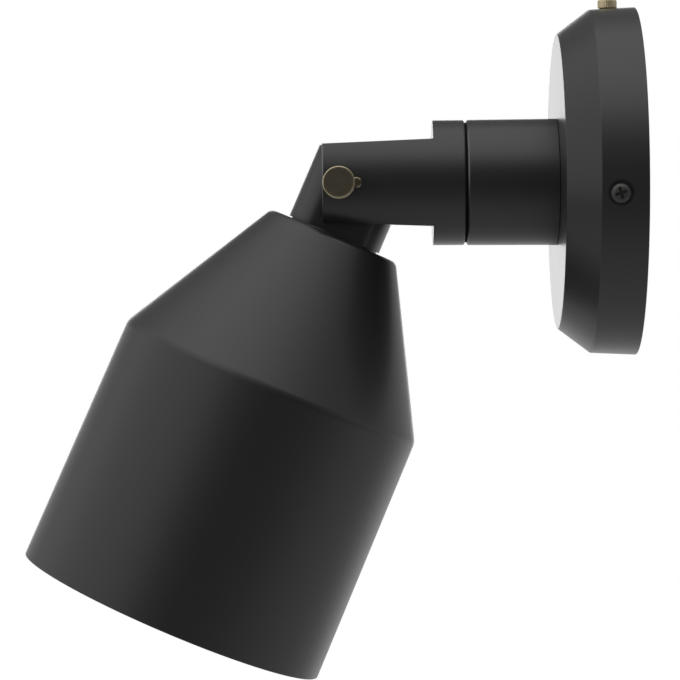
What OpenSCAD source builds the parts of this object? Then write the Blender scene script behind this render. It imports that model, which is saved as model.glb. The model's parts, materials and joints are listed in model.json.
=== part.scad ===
// Pivoting spotlight wall light: a round canopy on the wall, a short arm, a yoke that swivels
// on the arm, and a tapered shade that tilts in the yoke and is locked by a thumbscrew.
// Y = 0 is the wall, the light reaches out along -Y and Z is up. Lengths are in millimetres.

/* [Pose] */
// Angle of the shade below the horizontal, in degrees
head_drop = 66.4; // [30:0.2:85]

/* [Canopy] */
// Diameter of the canopy at the wall
canopy_d = 127; // [122:1:140]
// Distance from the wall to the canopy's flat front
canopy_depth = 28.5; // [25:0.5:34]
// Diameter of the flat front
canopy_front_d = 107.6; // [98:0.2:112]
// Distance from the wall to the start of the chamfer
canopy_rim_depth = 16.7; // [15:0.1:19]
// How much the rim narrows, in radius, from the wall to the chamfer
canopy_draft = 0.8; // [0.2:0.1:1.2]
// Wall of the canopy casting
canopy_wall = 2.2; // [1.8:0.1:2.8]
// Height of the two side screws below the canopy's centre line
side_screw_drop = 5.1; // [3:0.1:6]
// Diameter of the side screws' heads
side_head_d = 7; // [6.4:0.1:7.6]
// Diameter of the brass thumbscrew on top
canopy_thumb_d = 7; // [6:0.1:8]
// Height of its knurled head
canopy_thumb_height = 2.8; // [2.6:0.1:5]

/* [Mounting bracket] */
// Sheet thickness of the bracket
bracket_t = 2; // [1.6:0.1:2.4]
// Distance between the centres of the two box screw slots
slot_spacing = 79.4; // [76:0.2:82]
// Length of each slot, end to end
slot_length = 14.1; // [10:0.1:16]
// Width of each slot
slot_width = 4.6; // [4.3:0.1:5]
// Diameter of the cable hole in the middle
cable_hole_d = 22; // [18:0.5:24]

/* [Arm] */
// Diameter of the arm at the swivel seam
arm_d = 45.8; // [44:0.1:48]
// Radius that the arm gains towards the canopy
arm_draft = 0.2; // [0:0.05:0.4]
// Length of the arm from the canopy to the seam
arm_length = 33.2; // [33:0.1:42]
// Wall of the arm
arm_wall = 2.6; // [2.2:0.1:3]
// Thickness of the web at the arm's swivel end
arm_web = 5; // [4.6:0.1:6]
// Gap of the swivel seam
seam = 0.6; // [0.5:0.05:0.9]

/* [Yoke] */
// Diameter of the yoke
yoke_d = 45.7; // [44:0.1:47]
// Length of the yoke's collar
collar_length = 11.7; // [11.5:0.1:15]
// Height of the ears at the collar
ear_root_height = 31.5; // [30:0.1:33]
// Height of the ears at their tips
ear_tip_height = 28.4; // [26:0.1:30]
// How far the ears reach past the pivot
ear_past_pivot = 12.4; // [11.5:0.1:14]

/* [Tilt lock] */
// Diameter of the brass locking thumbscrew
lock_d = 11.9; // [11:0.1:13]
// Thickness of its knurled head
lock_head_t = 3.4; // [2.8:0.1:5]
// Distance of the locking thumbscrew from the pivot
lock_offset = 6.4; // [6.2:0.1:7.2]
// Diameter of the pivot pins
pivot_pin_d = 3.7; // [3.4:0.1:4.4]

/* [Neck] */
// Diameter of the neck that the shade hangs from
neck_d = 35.6; // [34:0.1:37]
// Thickness of the neck across its two flats
neck_flats = 28.4; // [26:0.1:29.4]
// Length of the neck above the pivot
neck_above = 7.8; // [6:0.1:9]
// Length of the neck below the pivot
neck_below = 20.3; // [18.5:0.1:24]
// Thickness of the washer between neck and shade
neck_washer_t = 0.5; // [0.4:0.1:2]
// Diameter of that washer
neck_washer_d = 33.5; // [28:0.5:34]

/* [Shade] */
// Diameter of the shade's flat top
shade_top_d = 49.6; // [48:0.2:54]
// Diameter at the shoulder between cone and barrel
shade_shoulder_d = 114.2; // [106:0.2:118]
// Diameter at the open rim
shade_rim_d = 116.4; // [112:0.2:122]
// Height of the cone
shade_cone_height = 57.9; // [54:0.1:66]
// Height of the whole shade
shade_height = 151.4; // [140:0.2:170]
// Wall of the shade
shade_wall = 1.5; // [1.2:0.1:2]

/* [Lampholder and bulb] */
// Diameter of the porcelain lampholder
holder_d = 39; // [37:0.5:42]
// Length of the lampholder
holder_length = 38; // [36:0.5:42]
// Diameter of the reflector bulb at its face
bulb_d = 63; // [58:0.5:70]
// Length of the bulb from its contact to its face
bulb_length = 85; // [80:1:90]
// Diameter of the bulb's screw cap
cap_d = 26; // [25.6:0.1:26.4]

/* [Hidden] */

// Colours
satin_black = [0.16, 0.16, 0.165];
aged_brass = [0.62, 0.53, 0.36];
zinc = [0.72, 0.73, 0.74];
steel = [0.6, 0.61, 0.63];
porcelain_white = [0.93, 0.92, 0.89];
glass_white = [0.95, 0.95, 0.93];
nylon_white = [0.9, 0.9, 0.87];
earth_green = [0.13, 0.45, 0.2];
lead_black = [0.07, 0.07, 0.07];
lead_white = [0.88, 0.87, 0.84];

// Roundness, the overrun of every cut, and the fits
$fn = 96;
arc_steps = 6;
over = 1;
// Radial play of a screw in its thread and of a tube in its seat
thread_play = 0.06;
// Radial play of a pin or shaft that turns
turning_play = 0.07;
// Play between flat faces that meet or slide on each other
face_play = 0.05;
// Radial play of a screw in a plain hole
hole_play = 0.3;

// Screw sizes that several pieces share
screw_r = 2;
knurl_depth = 0.25;
// Size of the teeth of a knurl, along the rim
knurl_pitch = 0.8;

// Canopy, worked out
canopy_r = canopy_d / 2;
canopy_edge_r = 0.9;
wire_hole_r = 8;
canopy_line = [
    [canopy_r, 0],
    [canopy_r - canopy_draft, canopy_rim_depth],
    [canopy_front_d / 2, canopy_depth],
    [wire_hole_r, canopy_depth]];
canopy_inner_face = canopy_depth - canopy_wall;
function canopy_r_at(out) = canopy_r - canopy_draft * out / canopy_rim_depth;

// Side screws and the thumbscrew that hold the canopy to the bracket
side_screw_out = 10.1;
side_head_h = 2;
side_seat_gap = 0.85;
side_seat_depth = 0.9;
side_screw_grip = 5.4;
cross_width = 1.1;
cross_depth = 1;
cross_turn = 17;
side_surface = sqrt(pow(canopy_r_at(side_screw_out), 2) - pow(side_screw_drop, 2));
side_seat = side_surface - side_seat_depth;
thumb_out = 9.6;
thumb_neck_h = 0.25;
thumb_neck_r = 2.6;
thumb_seat = canopy_r_at(thumb_out - thumb_neck_r);
thumb_top_round = 0.5;
thumb_grip = 8.6;

// Mounting bracket: a steel cross with a turned tab at three of its ends
bar_height = 24;
upright_width = 16;
hub_r = 22;
foot_reach = 41;
tab_gap = 1.5;
tab_width = 10;
tab_past_screw = 4.6;
side_tab_out = side_screw_out + tab_past_screw;
bracket_reach = canopy_r - canopy_wall - tab_gap;
// The side tabs lie in from the canopy's curve, so that their corners clear it
side_tab_reach = sqrt(pow(bracket_reach, 2) - pow(bar_height / 2, 2));
top_tab_reach = sqrt(pow(bracket_reach, 2) - pow(upright_width / 2, 2));

// Ground screw and terminal block on the bracket
ground_x = -25;
ground_head_flats = 7;
ground_head_h = 3;
lug_r = 4.2;
lug_t = 1;
lug_barrel_r = 1.5;
lug_barrel_length = 5;
block_size = [27, 12, 11];
block_y = -31;
block_poles = 3;
block_pitch = 8;
block_entry_r = 1.7;
block_entry_depth = 5;
block_entry_out = 6.5;
block_screw_r = 1.9;
block_screw_h = 1.6;
block_peg_r = 1.6;
block_peg_x = 4;

// Leads
lead_r = 1.1;
lead_pair_x = 1.25;
lead_touch = 0.05;
sleeve_r = 2.6;
lead_sides = 8;
lead_bend = 4;

// Arm
arm_r = arm_d / 2;
arm_edge_r = 1;
arm_back_r = arm_r + arm_draft;
arm_front = canopy_depth + arm_length;
// Where the sleeve round the leads begins
sleeve_back = canopy_depth + arm_length / 3;
boss_r = 3.9;
boss_length = 11;
boss_hole_depth = 9;
arm_screw_count = 3;
arm_bore_r = arm_r - arm_wall;
boss_place_r = arm_bore_r - boss_r + arm_wall / 2;
arm_screw_head_r = 3.7;
arm_screw_head_h = 2.3;
arm_screw_length = canopy_wall + 7.5 * screw_r / 2;

// Swivel
stem_r = 7;
stem_bore_r = 4.6;
stem_grip = 8;
stem_tail = 1.5;
bushing_wall = 1.5;
bushing_flange_r = 12;
bushing_r = stem_r + turning_play + bushing_wall;
swivel_washer_r = 13;
swivel_washer_t = 1.2;
spring_t = 0.6;
spring_wave = 0.9;
spring_waves = 3;
spring_r = swivel_washer_r - spring_wave;
spring_crest_r = 1.35;
nut_flats = 22;
nut_h = 5;
yoke_r = yoke_d / 2;
yoke_back = arm_front + seam;
web_inner = arm_front - arm_web;
spring_back = web_inner - swivel_washer_t;
nut_front = spring_back - spring_t - spring_wave - 2 * face_play;
nut_back = nut_front - nut_h;
stem_end = nut_back - stem_tail;

// Swivel stop: a pin on the yoke runs in an arc groove in the web
stop_r = 1.5;
stop_place_r = 17;
stop_reach = 2.4;
stop_grip = 5;
groove_side_gap = 0.3;
groove_depth = 3;
stop_land = 12;

// Yoke and pivot
collar_edge_r = 0.9;
// A raised ring on the yoke's back that nearly closes the seam
land_r = yoke_r - collar_edge_r - face_play;
land_width = 2.4;
land_h = seam - 3 * face_play;
ear_corner_r = 1.2;
pivot_washer_t = 0.4;
pivot_washer_r = lock_offset - screw_r - hole_play;
ear_gap = neck_flats + 2 * (pivot_washer_t + 2 * face_play);
collar_front = yoke_back + collar_length;
// The pivot lies where the neck's lower corner swings just clear of the collar
neck_swing_gap = 0.9;
neck_r = neck_d / 2;
pivot_out = collar_front + norm([neck_r, neck_below]) + neck_swing_gap;
ear_tip = pivot_out + ear_past_pivot;
pin_stand = 0.6;
pin_chamfer = 0.4;
pin_inset = 0.6;

// Tilt lock
lock_out = pivot_out + lock_offset;
lock_r = lock_d / 2;
lock_tip_gap = 0.1;
lock_shoulder_r = 3.2;
lock_shoulder_t = 1.2;
lock_lift = 0.9;
lock_chamfer = 0.5;
lock_head_in = yoke_r + lock_lift + lock_shoulder_t;

// Neck
neck_edge_r = 0.9;
wire_slot = 10;
wire_slot_floor = 6;
neck_bore_r = 4;
nipple_r = 5;
nipple_bore_r = 3.4;
nipple_grip = 10;
nipple_top = neck_below - nipple_grip;
// Where the sleeve ends, inside the nipple
sleeve_end = nipple_top + nipple_grip / 2;

// Shade and what clamps it
shade_top = neck_below + neck_washer_t;
shade_top_round = 3.2;
shade_shoulder_round = 6;
shade_inside = shade_top + shade_wall;
shade_line = [
    [nipple_r + hole_play, shade_top],
    [shade_top_d / 2, shade_top],
    [shade_shoulder_d / 2, shade_top + shade_cone_height],
    [shade_rim_d / 2, shade_top + shade_height]];
lock_washer_r = 9;
lock_washer_t = 0.9;
shade_nut_flats = 17;
shade_nut_h = 4.5;
tooth_count = 10;
tooth_reach = 1.4;

// Lampholder
strap_t = 1.5;
strap_width = 13;
strap_end_gap = 1;
holder_back = shade_inside + lock_washer_t + shade_nut_h + strap_t;
holder_front = holder_back + holder_length;
holder_lip_d_drop = 3;
holder_step = 14;
holder_edge_r = 1.2;
chamber_r = 10;
chamber_depth = 7.5;
chamber_floor_t = 4;
holder_r = holder_d / 2;
holder_screw_r = 1.6;
holder_screw_x = (chamber_r + holder_r) / 2;
holder_screw_depth = 7;
holder_head_r = 2.9;
holder_head_h = 1.8;
shell_t = 0.4;
shell_gap = 0.5;
thread_pitch = 3.63;
thread_height = 0.55;
shell_back = holder_back + chamber_depth + chamber_floor_t;
shell_inset = 1.5;
shell_r = cap_d / 2 + shell_gap;
terminal_r = 2.2;
terminal_x = 6.2;
terminal_h = 3.2;
terminal_top = holder_back + chamber_depth - terminal_h;
nipple_end = holder_back + strap_t / 4;
contact_lift = 2.2;
contact_r = 3.5;
contact_t = 0.5;

// Bulb
bulb_tip = shell_back + contact_lift + face_play;
bulb_face = bulb_tip + bulb_length;
cap_tip_r = 4.6;
cap_tip_h = 1.6;
cap_base_r = 9;
insulator_h = 2.4;
cap_length = 20;
cap_back = bulb_tip + cap_tip_h + insulator_h;
cap_front = cap_back + cap_length;
cap_t = 0.6;
cap_root_r = cap_d / 2 - thread_height;
cap_inner_r = cap_root_r - cap_t;
bulb_neck_r = 15;
bulb_dome = 9;
bulb_r = bulb_d / 2;
bulb_throat_share = 0.5;
bulb_edge_round = 6;
// Where the lens's outline turns, as shares of its radius and of its rise
lens_turn_share = 0.62;
lens_rise_share = 0.24;

// Shapes that several pieces use

// Local z runs out from the wall along the arm's axis, and local y is up.
module from_wall() rotate([90, 0, 0]) children();

// Local z runs from the pivot down the shade's axis, and local x is the pivot's axis.
module at_pivot() translate([0, -pivot_out, 0]) rotate([90 + head_drop, 0, 0]) children();

// Local z runs along +X.
module along_x() rotate([0, 90, 0]) children();

module both_sides() {
    children();
    mirror([1, 0, 0]) children();
}

module ring(outer_r, inner_r, height) {
    difference() {
        cylinder(r = outer_r, h = height);
        translate([0, 0, -over]) cylinder(r = inner_r, h = height + 2 * over);
    }
}

module hexagon(flats, height) cylinder(r = flats / sqrt(3), h = height, $fn = 6);

// A round head with a toothed band, and a chamfered core that shows at each end of it.
module knurled(r, height, chamfer) {
    teeth = floor(2 * PI * r / knurl_pitch);
    core_r = r - 2 * knurl_depth;
    translate([0, 0, chamfer]) linear_extrude(height - 2 * chamfer)
        polygon([for (i = [0:2 * teeth - 1])
            (r - (i % 2) * knurl_depth) * [cos(180 * i / teeth), sin(180 * i / teeth)]]);
    rotate_extrude() polygon([
        [0, 0], [core_r - chamfer, 0], [core_r, chamfer], [core_r, height - chamfer],
        [core_r - chamfer, height], [0, height]]);
}

// Tube through a list of points, bent at each inner one. Its rings keep their twist.
module lead(points, r) {
    inner_bends = [for (i = [2:len(points) - 1]) lead_bend];
    path = rounded(points, concat([0], inner_bends, [0]));
    last = len(path) - 1;
    sides = [for (i = 0, side = square_to([1, 1, 1], tangent(path, 0)); i <= last;
        i = i + 1, side = i > last ? side : square_to(side, tangent(path, i))) side];
    corners = [for (i = [0:last]) for (k = [0:lead_sides - 1])
        let (turn = 360 * k / lead_sides)
        path[i] + r * (cos(turn) * sides[i] + sin(turn) * cross(tangent(path, i), sides[i]))];
    walls = [for (i = [0:last - 1]) for (k = [0:lead_sides - 1])
        let (a = i * lead_sides, b = a + lead_sides, next = (k + 1) % lead_sides)
        each [[a + k, b + k, b + next], [a + k, b + next, a + next]]];
    start_cap = [for (k = [0:lead_sides - 1]) k];
    end_cap = [for (k = [lead_sides - 1:-1:0]) last * lead_sides + k];
    polyhedron(corners, concat([start_cap], walls, [end_cap]));
}

function tangent(path, i) = unit(path[min(i + 1, len(path) - 1)] - path[max(i - 1, 0)]);
function square_to(v, along) = unit(v - (v * along) * along);
function unit(v) = v / norm(v);
function left_of(v) = [-v.y, v.x];
// Where the line through p along u meets the line through q along v.
function meet(p, u, q, v) = p + u * cross(q - p, v) / cross(u, v);
// The line moved w to its left. Its ends stay level with its first and last points.
function inset(line, w, first_level, last_level) = [for (i = [0:len(line) - 1])
    let (last = len(line) - 1,
        before = line[i] - line[max(i - 1, 0)],
        after = line[min(i + 1, last)] - line[i])
    i == 0 ? meet(line[i], first_level, line[i] + w * left_of(unit(after)), after)
    : i == last ? meet(line[i], last_level, line[i] + w * left_of(unit(before)), before)
    : meet(line[i] + w * left_of(unit(before)), before, line[i] + w * left_of(unit(after)), after)];
// The corner at b between a and c, as an arc of radius r.
function corner(a, b, c, r) =
    let (to_a = unit(a - b), to_c = unit(c - b), half = acos(to_a * to_c) / 2,
        centre = b + unit(to_a + to_c) * r / sin(half),
        first = unit(b + to_a * r / tan(half) - centre),
        last = unit(b + to_c * r / tan(half) - centre))
    [for (i = [0:arc_steps]) centre + r * unit(first * (arc_steps - i) + last * i)];
// The line with its inner points rounded to the given radii; a radius of 0 leaves the point.
function rounded(line, radii) = [for (i = [0:len(line) - 1])
    each radii[i] == 0 ? [line[i]] : corner(line[i - 1], line[i], line[i + 1], radii[i])];
function reversed(list) = [for (i = [len(list) - 1:-1:0]) list[i]];

// Pieces on the wall

module canopy() {
    inner = inset(canopy_line, canopy_wall, [1, 0], [0, 1]);
    color(satin_black) from_wall() difference() {
        rotate_extrude($fn = 180) polygon(concat(
            rounded(canopy_line, [0, canopy_edge_r, canopy_edge_r, 0]),
            reversed(inner)));
        both_sides() translate([0, -side_screw_drop, side_screw_out]) along_x() {
            cylinder(r = screw_r + hole_play, h = canopy_r + over);
            translate([0, 0, side_seat])
                cylinder(r = side_head_d / 2 + side_seat_gap, h = canopy_wall + over);
        }
        translate([0, canopy_r - canopy_wall - over, thumb_out]) rotate([-90, 0, 0])
            cylinder(r = screw_r + hole_play, h = canopy_wall + 2 * over);
        arm_screw_places() translate([0, 0, canopy_inner_face - over])
            cylinder(r = screw_r + hole_play, h = canopy_wall + 2 * over);
    }
}

module arm_screw_places() {
    for (i = [0:arm_screw_count - 1])
        rotate(90 + i * 360 / arm_screw_count) translate([boss_place_r, 0, 0]) children();
}

module box_slot() {
    run = (slot_length - slot_width) / 2;
    for (side = [-1, 1]) translate([side * run, 0]) circle(d = slot_width);
    square([2 * run, slot_width], center = true);
}

module mounting_bracket() {
    color(zinc) from_wall() difference() {
        union() {
            linear_extrude(bracket_t) {
                square([2 * side_tab_reach, bar_height], center = true);
                translate([-upright_width / 2, -foot_reach])
                    square([upright_width, foot_reach + top_tab_reach]);
                circle(r = hub_r);
            }
            both_sides() translate([side_tab_reach - bracket_t, -side_screw_drop - tab_width / 2, 0])
                cube([bracket_t, tab_width, side_tab_out]);
            translate([-tab_width / 2, top_tab_reach - bracket_t, 0])
                cube([tab_width, bracket_t, side_tab_out]);
        }
        translate([0, 0, -over]) linear_extrude(bracket_t + 2 * over) {
            circle(d = cable_hole_d);
            for (side = [-1, 1]) translate([side * slot_spacing / 2, 0]) box_slot();
            translate([ground_x, 0]) circle(r = screw_r + thread_play);
            for (side = [-1, 1]) translate([side * block_peg_x, block_y])
                circle(r = block_peg_r + hole_play);
        }
        both_sides() translate([side_tab_reach - bracket_t - over, -side_screw_drop, side_screw_out])
            along_x() cylinder(r = screw_r + thread_play, h = bracket_t + 2 * over);
        translate([0, top_tab_reach - bracket_t - over, thumb_out]) rotate([-90, 0, 0])
            cylinder(r = screw_r + thread_play, h = bracket_t + 2 * over);
    }
}

// A black pan-head screw with a cross recess on each side of the canopy.
module side_screws() {
    head_r = side_head_d / 2;
    crown = [[0, side_head_h], [head_r / 2, side_head_h], [head_r, side_head_h / 2], [head_r, 0]];
    shank = side_seat - side_tab_reach + side_screw_grip;
    color(satin_black) from_wall() both_sides()
        translate([side_seat, -side_screw_drop, side_screw_out]) along_x() {
            translate([0, 0, -shank]) cylinder(r = screw_r, h = shank + over / 2);
            difference() {
                rotate_extrude() polygon(concat(
                    rounded(crown, [0, head_r / 2, head_r / 4, 0]), [[0, 0]]));
                for (turn = [0, 90]) rotate(cross_turn + turn)
                    translate([-head_r * 0.7, -cross_width / 2, side_head_h - cross_depth])
                        cube([head_r * 1.4, cross_width, cross_depth + over]);
            }
        }
}

module canopy_thumbscrew() {
    head_r = canopy_thumb_d / 2;
    color(aged_brass) from_wall() translate([0, thumb_seat, thumb_out]) rotate([-90, 0, 0]) {
        translate([0, 0, -thumb_grip]) cylinder(r = screw_r, h = thumb_grip + over / 2);
        cylinder(r = thumb_neck_r, h = thumb_neck_h + over / 2);
        translate([0, 0, thumb_neck_h])
            knurled(head_r, canopy_thumb_height, thumb_top_round);
    }
}

module ground_screw() {
    color(earth_green) from_wall() translate([ground_x, 0, 0]) {
        translate([0, 0, face_play])
            cylinder(r = screw_r, h = bracket_t + lug_t + ground_head_h / 2);
        translate([0, 0, bracket_t + lug_t]) hexagon(ground_head_flats, ground_head_h);
    }
}

// Ring lug under the ground screw, with a barrel that the lead is crimped in.
module ground_lug() {
    color(zinc) from_wall() translate([ground_x, 0, bracket_t]) {
        difference() {
            cylinder(r = lug_r, h = lug_t);
            translate([0, 0, -over]) cylinder(r = screw_r + hole_play, h = lug_t + 2 * over);
        }
        translate([0, -lug_r + lug_t / 2, lug_barrel_r]) rotate([90, 0, 0])
            cylinder(r = lug_barrel_r, h = lug_barrel_length + lug_t / 2);
    }
}

module terminal_block() {
    color(nylon_white) from_wall() difference() {
        union() {
            translate([-block_size.x / 2, block_y - block_size.y / 2, bracket_t]) cube(block_size);
            for (side = [-1, 1]) translate([side * block_peg_x, block_y, face_play])
                cylinder(r = block_peg_r, h = bracket_t + over);
        }
        for (pole = [0:block_poles - 1]) translate([block_pole_x(pole), block_y, bracket_t]) {
            translate([0, block_size.y / 2 - block_entry_depth, block_entry_out]) rotate([-90, 0, 0])
                cylinder(r = block_entry_r, h = block_entry_depth + over);
            translate([0, 0, block_size.z - block_screw_h])
                cylinder(r = block_screw_r + thread_play, h = block_screw_h + over);
        }
    }
}

function block_pole_x(pole) = (pole - (block_poles - 1) / 2) * block_pitch;

module terminal_screws() {
    color(steel) from_wall() for (pole = [0:block_poles - 1])
        translate([block_pole_x(pole), block_y, bracket_t + block_size.z - block_screw_h])
            difference() {
                cylinder(r = block_screw_r, h = block_screw_h * 0.8);
                translate([-block_screw_r - over, -block_screw_h / 6, block_screw_h * 0.4])
                    cube([2 * block_screw_r + 2 * over, block_screw_h / 3, block_screw_h]);
            }
}

// Where a lead leaves the terminal block, at the bottom of its entry.
function block_start(pole) = [
    block_pole_x(pole),
    block_y + block_size.y / 2 - block_entry_depth + lead_touch,
    bracket_t + block_entry_out];

module ground_lead() {
    start = block_start(0);
    end = [ground_x, -lug_r - lug_barrel_length - lead_touch, bracket_t + lug_barrel_r];
    color(earth_green) from_wall() lead([start, start + [0, 2 * block_entry_depth, 0],
        end - [0, 2 * lug_barrel_length, 0], end], lead_r);
}

module wall_lead(pole, side) {
    start = block_start(pole);
    from_wall() lead([start, [start.x, start.y + block_entry_depth, start.z],
        [side * wire_hole_r / 2, -wire_hole_r, canopy_inner_face - canopy_wall],
        [side * lead_pair_x, 0, canopy_depth],
        [side * lead_pair_x, 0, sleeve_back]], lead_r);
}

module live_lead_wall() color(lead_black) wall_lead(2, 1);

module neutral_lead_wall() color(lead_white) wall_lead(1, -1);

module arm_tube() {
    tube_line = [
        [arm_back_r, canopy_depth], [arm_r, arm_front], [bushing_r + thread_play, arm_front]];
    bore_line = [[bushing_r + thread_play, web_inner], [arm_bore_r, web_inner],
        [arm_bore_r, canopy_depth]];
    color(satin_black) from_wall() difference() {
        union() {
            rotate_extrude($fn = 180)
                polygon(concat(rounded(tube_line, [0, arm_edge_r, 0]), bore_line));
            arm_screw_places() translate([0, 0, canopy_depth + face_play])
                cylinder(r = boss_r, h = boss_length);
        }
        arm_screw_places() translate([0, 0, canopy_depth - over])
            cylinder(r = screw_r + thread_play, h = boss_hole_depth + over);
        rotate(-90 + stop_land / 2) translate([0, 0, arm_front - groove_depth])
            rotate_extrude(angle = 360 - stop_land) translate([stop_place_r, 0])
                translate([-stop_r - groove_side_gap, 0])
                    square([2 * (stop_r + groove_side_gap), groove_depth + over]);
    }
}

module arm_screws() {
    color(zinc) from_wall() arm_screw_places() translate([0, 0, canopy_inner_face]) difference() {
        union() {
            cylinder(r = screw_r, h = arm_screw_length);
            translate([0, 0, -arm_screw_head_h]) cylinder(r = arm_screw_head_r, h = arm_screw_head_h);
        }
        for (turn = [0, 90]) rotate(turn)
            translate([-arm_screw_head_r * 0.7, -cross_width / 2, -arm_screw_head_h - over])
                cube([arm_screw_head_r * 1.4, cross_width, cross_depth + over]);
    }
}

// Nylon bush with a flange that the yoke turns against.
module swivel_bushing() {
    color(nylon_white) from_wall() {
        translate([0, 0, web_inner]) ring(bushing_r, stem_r + turning_play, arm_web + face_play);
        translate([0, 0, arm_front])
            ring(bushing_flange_r, stem_r + turning_play, seam - face_play);
    }
}

module swivel_washer() {
    color(zinc) from_wall() translate([0, 0, web_inner - swivel_washer_t])
        ring(swivel_washer_r, stem_r + turning_play, swivel_washer_t);
}

// Pieces that swivel

module yoke() {
    collar_line = [
        [0, yoke_back], [yoke_r, yoke_back], [yoke_r, collar_front], [0, collar_front]];
    ear_line = [
        [yoke_back + collar_length / 2, ear_root_height / 2],
        [collar_front, ear_root_height / 2],
        [ear_tip, ear_tip_height / 2],
        [ear_tip, -ear_tip_height / 2],
        [collar_front, -ear_root_height / 2],
        [yoke_back + collar_length / 2, -ear_root_height / 2]];
    color(satin_black) from_wall() difference() {
        union() {
            rotate_extrude($fn = 180)
                polygon(rounded(collar_line, [0, collar_edge_r, collar_edge_r / 2, 0]));
            intersection() {
                translate([0, 0, yoke_back + collar_length / 2])
                    cylinder(r = yoke_r, h = ear_tip, $fn = 180);
                rotate([0, -90, 0]) linear_extrude(yoke_d + over, center = true)
                    polygon(rounded(ear_line, [0, 0, ear_corner_r, ear_corner_r, 0, 0]));
            }
            translate([0, 0, yoke_back - land_h])
                ring(land_r, land_r - land_width, land_h + face_play);
        }
        translate([-ear_gap / 2, -yoke_r, collar_front]) cube([ear_gap, yoke_d, ear_tip]);
        translate([0, 0, yoke_back - over])
            cylinder(r = stem_r + thread_play, h = stem_grip + over);
        translate([0, 0, yoke_back]) cylinder(r = stem_bore_r, h = collar_length + over);
        translate([0, stop_place_r, yoke_back - over])
            cylinder(r = stop_r + thread_play, h = stop_grip + over);
        translate([-yoke_r - over, 0, pivot_out]) along_x()
            cylinder(r = pivot_pin_d / 2 + thread_play, h = yoke_d + 2 * over);
        translate([0, 0, lock_out]) along_x()
            cylinder(r = screw_r + turning_play, h = yoke_r + over);
    }
}

module swivel_stem() {
    color(zinc) from_wall() translate([0, 0, stem_end])
        ring(stem_r, stem_bore_r, yoke_back + stem_grip - face_play - stem_end);
}

// Wave washer, drawn as a flat ring with three raised crests on each face.
module swivel_spring() {
    crest = spring_wave / 2;
    color(steel) from_wall() translate([0, 0, nut_front + face_play]) {
        translate([0, 0, crest]) ring(spring_r, stem_r + turning_play, spring_t);
        for (i = [0:2 * spring_waves - 1]) rotate(i * 180 / spring_waves)
            translate([(stem_r + spring_r) / 2, 0, (i % 2) * (crest + spring_t - face_play)])
                cylinder(r = spring_crest_r, h = crest + face_play);
    }
}

module swivel_nut() {
    color(zinc) from_wall() translate([0, 0, nut_back]) difference() {
        hexagon(nut_flats, nut_h);
        translate([0, 0, -over]) cylinder(r = stem_r + thread_play, h = nut_h + 2 * over);
    }
}

module stop_pin() {
    color(steel) from_wall() translate([0, stop_place_r, yoke_back - stop_reach])
        cylinder(r = stop_r, h = stop_reach + stop_grip - face_play);
}

module pivot_pins() {
    pin_r = pivot_pin_d / 2;
    inner_end = wire_slot / 2 + pin_inset;
    outer_end = yoke_r + pin_stand;
    color(aged_brass) from_wall() both_sides() translate([0, 0, pivot_out]) along_x()
        rotate_extrude() polygon([
            [0, inner_end], [pin_r, inner_end], [pin_r, outer_end - pin_chamfer],
            [pin_r - pin_chamfer, outer_end], [0, outer_end]]);
}

module pivot_washers() {
    color(steel) from_wall() both_sides()
        translate([neck_flats / 2 + face_play, 0, pivot_out]) along_x()
            ring(pivot_washer_r, pivot_pin_d / 2 + turning_play, pivot_washer_t);
}

// Sleeve round the two leads: through the stem, then round the bend at the pivot into the neck.
module lead_sleeve() {
    down = [0, -sin(head_drop), cos(head_drop)];
    pivot = [0, 0, pivot_out];
    color(lead_black) from_wall()
        lead([[0, 0, sleeve_back + lead_touch], pivot, pivot + down * sleeve_end], sleeve_r);
}

module tilt_thumbscrew() {
    tip = neck_flats / 2 + lock_tip_gap;
    color(aged_brass) from_wall() translate([0, 0, lock_out]) along_x() {
        translate([0, 0, tip]) cylinder(r = screw_r, h = lock_head_in - tip + over / 2);
        translate([0, 0, lock_head_in - lock_shoulder_t])
            cylinder(r = lock_shoulder_r, h = lock_shoulder_t + over / 2);
        translate([0, 0, lock_head_in]) knurled(lock_r, lock_head_t, lock_chamfer);
    }
}

// Pieces that tilt

module neck() {
    neck_line = [[0, -neck_above], [neck_r, -neck_above], [neck_r, neck_below], [0, neck_below]];
    color(satin_black) at_pivot() difference() {
        intersection() {
            rotate_extrude($fn = 180) polygon(rounded(neck_line, [0, neck_edge_r, neck_edge_r / 2, 0]));
            translate([-neck_flats / 2, -neck_r, -neck_above])
                cube([neck_flats, neck_d, neck_above + neck_below]);
        }
        translate([-wire_slot / 2, -neck_r - over, -neck_above - over])
            cube([wire_slot, neck_r + wire_slot / 2 + over, neck_above + wire_slot_floor + over]);
        cylinder(r = neck_bore_r, h = neck_below);
        translate([0, 0, nipple_top]) cylinder(r = nipple_r + thread_play, h = nipple_grip + over);
        translate([-neck_r, 0, 0]) along_x()
            cylinder(r = pivot_pin_d / 2 + turning_play, h = neck_d);
    }
}

module neck_nipple() {
    color(zinc) at_pivot() translate([0, 0, nipple_top + face_play])
        ring(nipple_r, nipple_bore_r, nipple_end - nipple_top - face_play);
}

module neck_washer() {
    color(satin_black) at_pivot() translate([0, 0, neck_below])
        ring(neck_washer_d / 2, nipple_r + thread_play, neck_washer_t);
}

module shade() {
    inner = inset(shade_line, shade_wall, [0, 1], [1, 0]);
    color(satin_black) at_pivot() rotate_extrude($fn = 240) polygon(concat(
        rounded(shade_line, [0, shade_top_round, shade_shoulder_round, 0]),
        reversed(rounded(inner,
            [0, shade_top_round - shade_wall, shade_shoulder_round - shade_wall, 0]))));
}

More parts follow.
